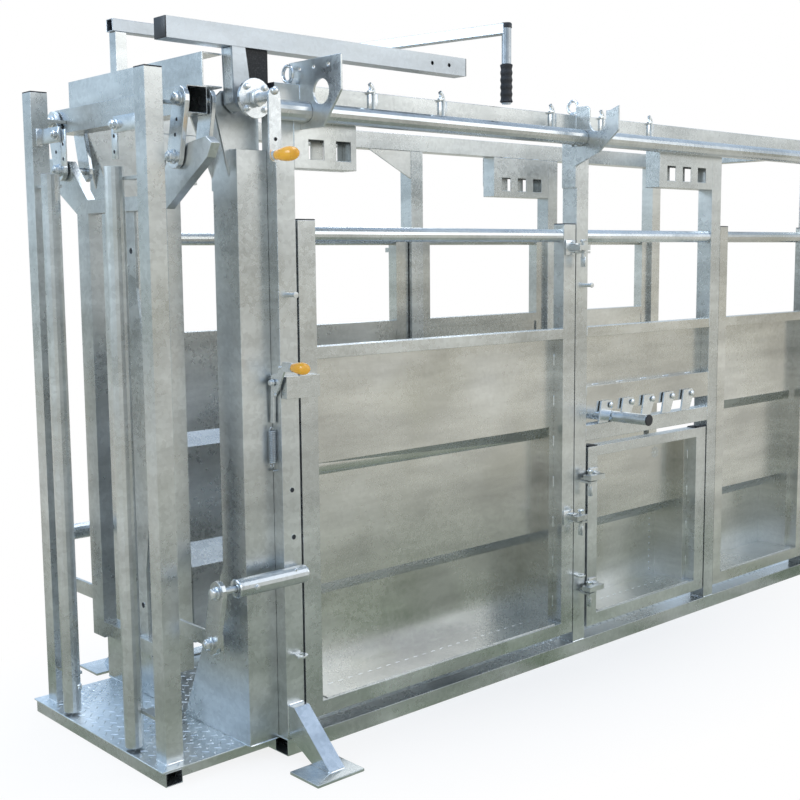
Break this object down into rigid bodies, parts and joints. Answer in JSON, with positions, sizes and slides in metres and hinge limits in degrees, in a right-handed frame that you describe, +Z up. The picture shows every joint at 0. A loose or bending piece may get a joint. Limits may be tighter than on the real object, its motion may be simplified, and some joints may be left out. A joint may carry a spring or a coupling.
{
  "type": "cattle squeeze chute",
  "caption": "Galvanised cattle chute with a swinging head gate, stepped side doors, a sliding cross bar with drop pawls and a long head lever.",
  "frame": {"origin": "on the ground, on the centre plane, under the middle of the chute", "axes": "+X from the head gate to the rear, +Z up, and the working side with the latch and crank faces -Y"},
  "size_m": [3.685, 1.5046, 2.4083],
  "materials": {
    "galvanised_steel": "hot-dip galvanised, satin with spangle",
    "black_plastic": "matt",
    "black_rubber": "matt",
    "amber_plastic": "gloss"
  },
  "bodies": {
    "root": {"base_frame": "galvanised_steel", "floor_plate": "galvanised_steel", "near_outrigger": "galvanised_steel", "far_outrigger": "galvanised_steel", "near_head_post": "galvanised_steel", "far_head_post": "galvanised_steel", "near_middle_post": "galvanised_steel", "far_middle_post": "galvanised_steel", "near_rear_post": "galvanised_steel", "far_rear_post": "galvanised_steel", "near_top_beam": "galvanised_steel", "far_top_beam": "galvanised_steel", "near_round_rail": "galvanised_steel", "rear_cross_beam": "galvanised_steel", "front_pole_bracket": "galvanised_steel", "rear_pole_bracket": "galvanised_steel", "near_front_bar_box": "galvanised_steel", "far_front_bar_box": "galvanised_steel", "near_rear_bar_box": "galvanised_steel", "far_rear_bar_box": "galvanised_steel", "near_column": "galvanised_steel", "far_column": "galvanised_steel", "near_gate_post": "galvanised_steel", "far_gate_post": "galvanised_steel", "front_header": "galvanised_steel", "control_beam": "galvanised_steel", "near_upper_panel": "galvanised_steel", "near_upper_rail": "galvanised_steel", "near_comb_rail": "galvanised_steel", "near_rear_panel": "galvanised_steel", "far_rear_panel": "galvanised_steel", "far_middle_panel": "galvanised_steel", "latch_spring": "galvanised_steel"},
    "near_door": {"near_door_frame": "galvanised_steel", "near_door_panel": "galvanised_steel"},
    "far_door": {"far_door": "galvanised_steel"},
    "half_door": {"half_door_frame": "galvanised_steel", "half_door_panel": "galvanised_steel"},
    "anti_back_bar": {"anti_back_bar": "galvanised_steel"},
    "pawl_1": {"pawl_1": "galvanised_steel"},
    "pawl_2": {"pawl_2": "galvanised_steel"},
    "pawl_3": {"pawl_3": "galvanised_steel"},
    "pawl_4": {"pawl_4": "galvanised_steel"},
    "pawl_5": {"pawl_5": "galvanised_steel"},
    "latch": {"latch_lever": "galvanised_steel", "latch_knob": "amber_plastic"},
    "near_front_link": {"near_front_link": "galvanised_steel"},
    "near_rear_link": {"near_rear_link": "galvanised_steel"},
    "near_lower_link": {"near_lower_link": "galvanised_steel"},
    "near_gate_leaf": {"near_gate_leaf": "galvanised_steel"},
    "far_front_link": {"far_front_link": "galvanised_steel"},
    "far_rear_link": {"far_rear_link": "galvanised_steel"},
    "far_lower_link": {"far_lower_link": "galvanised_steel"},
    "far_gate_leaf": {"far_gate_leaf": "galvanised_steel"},
    "head_lever": {"head_lever": "galvanised_steel", "lever_pad": "black_rubber"},
    "crank": {"crank_arm": "galvanised_steel"},
    "crank_knob": {"crank_knob": "amber_plastic"},
    "grip_arm": {"grip_arm": "galvanised_steel", "lever_grip": "black_plastic"}
  },
  "joints": [
    {"name": "head_lever_lift", "type": "hinge", "parent": "root", "child": "head_lever", "pos_m": [-1.54, -0.45, 2.06], "axis": [0, -1, 0], "range_deg": [0, 36]},
    {"name": "near_front_link_swing", "type": "hinge", "parent": "root", "child": "near_front_link", "pos_m": [-1.707, -0.402, 2.06], "axis": [-1, 0, 0], "range_deg": [0, 72.1]},
    {"name": "near_rear_link_swing", "type": "hinge", "parent": "root", "child": "near_rear_link", "pos_m": [-1.707, -0.402, 2.06], "axis": [-1, 0, 0], "range_deg": [0, 72.1]},
    {"name": "near_lower_link_swing", "type": "hinge", "parent": "root", "child": "near_lower_link", "pos_m": [-1.707, -0.5275, 0.6], "axis": [-1, 0, 0], "range_deg": [0, 72.1]},
    {"name": "near_gate_leaf_turn", "type": "hinge", "parent": "near_front_link", "child": "near_gate_leaf", "pos_m": [-1.707, -0.362, 1.895], "axis": [-1, 0, 0], "range_deg": [-72.1, 0]},
    {"name": "far_front_link_swing", "type": "hinge", "parent": "root", "child": "far_front_link", "pos_m": [-1.707, 0.402, 2.06], "axis": [1, 0, 0], "range_deg": [0, 72.1]},
    {"name": "far_rear_link_swing", "type": "hinge", "parent": "root", "child": "far_rear_link", "pos_m": [-1.707, 0.402, 2.06], "axis": [1, 0, 0], "range_deg": [0, 72.1]},
    {"name": "far_lower_link_swing", "type": "hinge", "parent": "root", "child": "far_lower_link", "pos_m": [-1.707, 0.5275, 0.6], "axis": [1, 0, 0], "range_deg": [0, 72.1]},
    {"name": "far_gate_leaf_turn", "type": "hinge", "parent": "far_front_link", "child": "far_gate_leaf", "pos_m": [-1.707, 0.362, 1.895], "axis": [1, 0, 0], "range_deg": [-72.1, 0]},
    {"name": "near_door_swing", "type": "hinge", "parent": "root", "child": "near_door", "pos_m": [-0.015, -0.535, 0.9], "axis": [0, 0, 1], "range_deg": [0, 90]},
    {"name": "half_door_swing", "type": "hinge", "parent": "root", "child": "half_door", "pos_m": [0.04, -0.535, 0.5], "axis": [0, 0, -1], "range_deg": [0, 90]},
    {"name": "far_door_swing", "type": "hinge", "parent": "root", "child": "far_door", "pos_m": [-0.015, 0.535, 0.9], "axis": [0, 0, -1], "range_deg": [0, 110]},
    {"name": "anti_back_bar_slide", "type": "slide", "parent": "root", "child": "anti_back_bar", "axis": [1, 0, 0], "range_m": [0, 0.014]},
    {"name": "pawl_1_swing", "type": "hinge", "parent": "root", "child": "pawl_1", "pos_m": [0.192, -0.508, 0.995], "axis": [0, 1, 0], "range_deg": [0, 70]},
    {"name": "pawl_2_swing", "type": "hinge", "parent": "root", "child": "pawl_2", "pos_m": [0.333, -0.508, 0.995], "axis": [0, 1, 0], "range_deg": [0, 70]},
    {"name": "pawl_3_swing", "type": "hinge", "parent": "root", "child": "pawl_3", "pos_m": [0.474, -0.508, 0.995], "axis": [0, 1, 0], "range_deg": [0, 70]},
    {"name": "pawl_4_swing", "type": "hinge", "parent": "root", "child": "pawl_4", "pos_m": [0.615, -0.508, 0.995], "axis": [0, 1, 0], "range_deg": [0, 70]},
    {"name": "pawl_5_swing", "type": "hinge", "parent": "root", "child": "pawl_5", "pos_m": [0.756, -0.508, 0.995], "axis": [0, 1, 0], "range_deg": [0, 70]},
    {"name": "latch_turn", "type": "hinge", "parent": "root", "child": "latch", "pos_m": [-1.449, -0.48, 1.21], "axis": [-1, 0, 0], "range_deg": [0, 20], "stiffness_Nm_per_rad": 1.5, "springref_deg": -20.05},
    {"name": "crank_turn", "type": "hinge", "parent": "root", "child": "crank", "pos_m": [-1.54, -0.6265, 2.06], "axis": [0, -1, 0], "continuous": true},
    {"name": "crank_knob_spin", "type": "hinge", "parent": "crank", "child": "crank_knob", "pos_m": [-1.54, -0.65, 1.89], "axis": [0, -1, 0], "continuous": true},
    {"name": "grip_arm_swing", "type": "hinge", "parent": "root", "child": "grip_arm", "pos_m": [-0.57, 0.12, 2.385], "axis": [0, 0, 1], "range_deg": [-20, 5]}
  ],
  "couplings": [
    {"joint": "near_front_link_swing", "follows": "head_lever_lift", "ratio": 2},
    {"joint": "near_rear_link_swing", "follows": "head_lever_lift", "ratio": 2},
    {"joint": "near_lower_link_swing", "follows": "head_lever_lift", "ratio": 2},
    {"joint": "near_gate_leaf_turn", "follows": "head_lever_lift", "ratio": -2},
    {"joint": "far_front_link_swing", "follows": "head_lever_lift", "ratio": 2},
    {"joint": "far_rear_link_swing", "follows": "head_lever_lift", "ratio": 2},
    {"joint": "far_lower_link_swing", "follows": "head_lever_lift", "ratio": 2},
    {"joint": "far_gate_leaf_turn", "follows": "head_lever_lift", "ratio": -2}
  ]
}
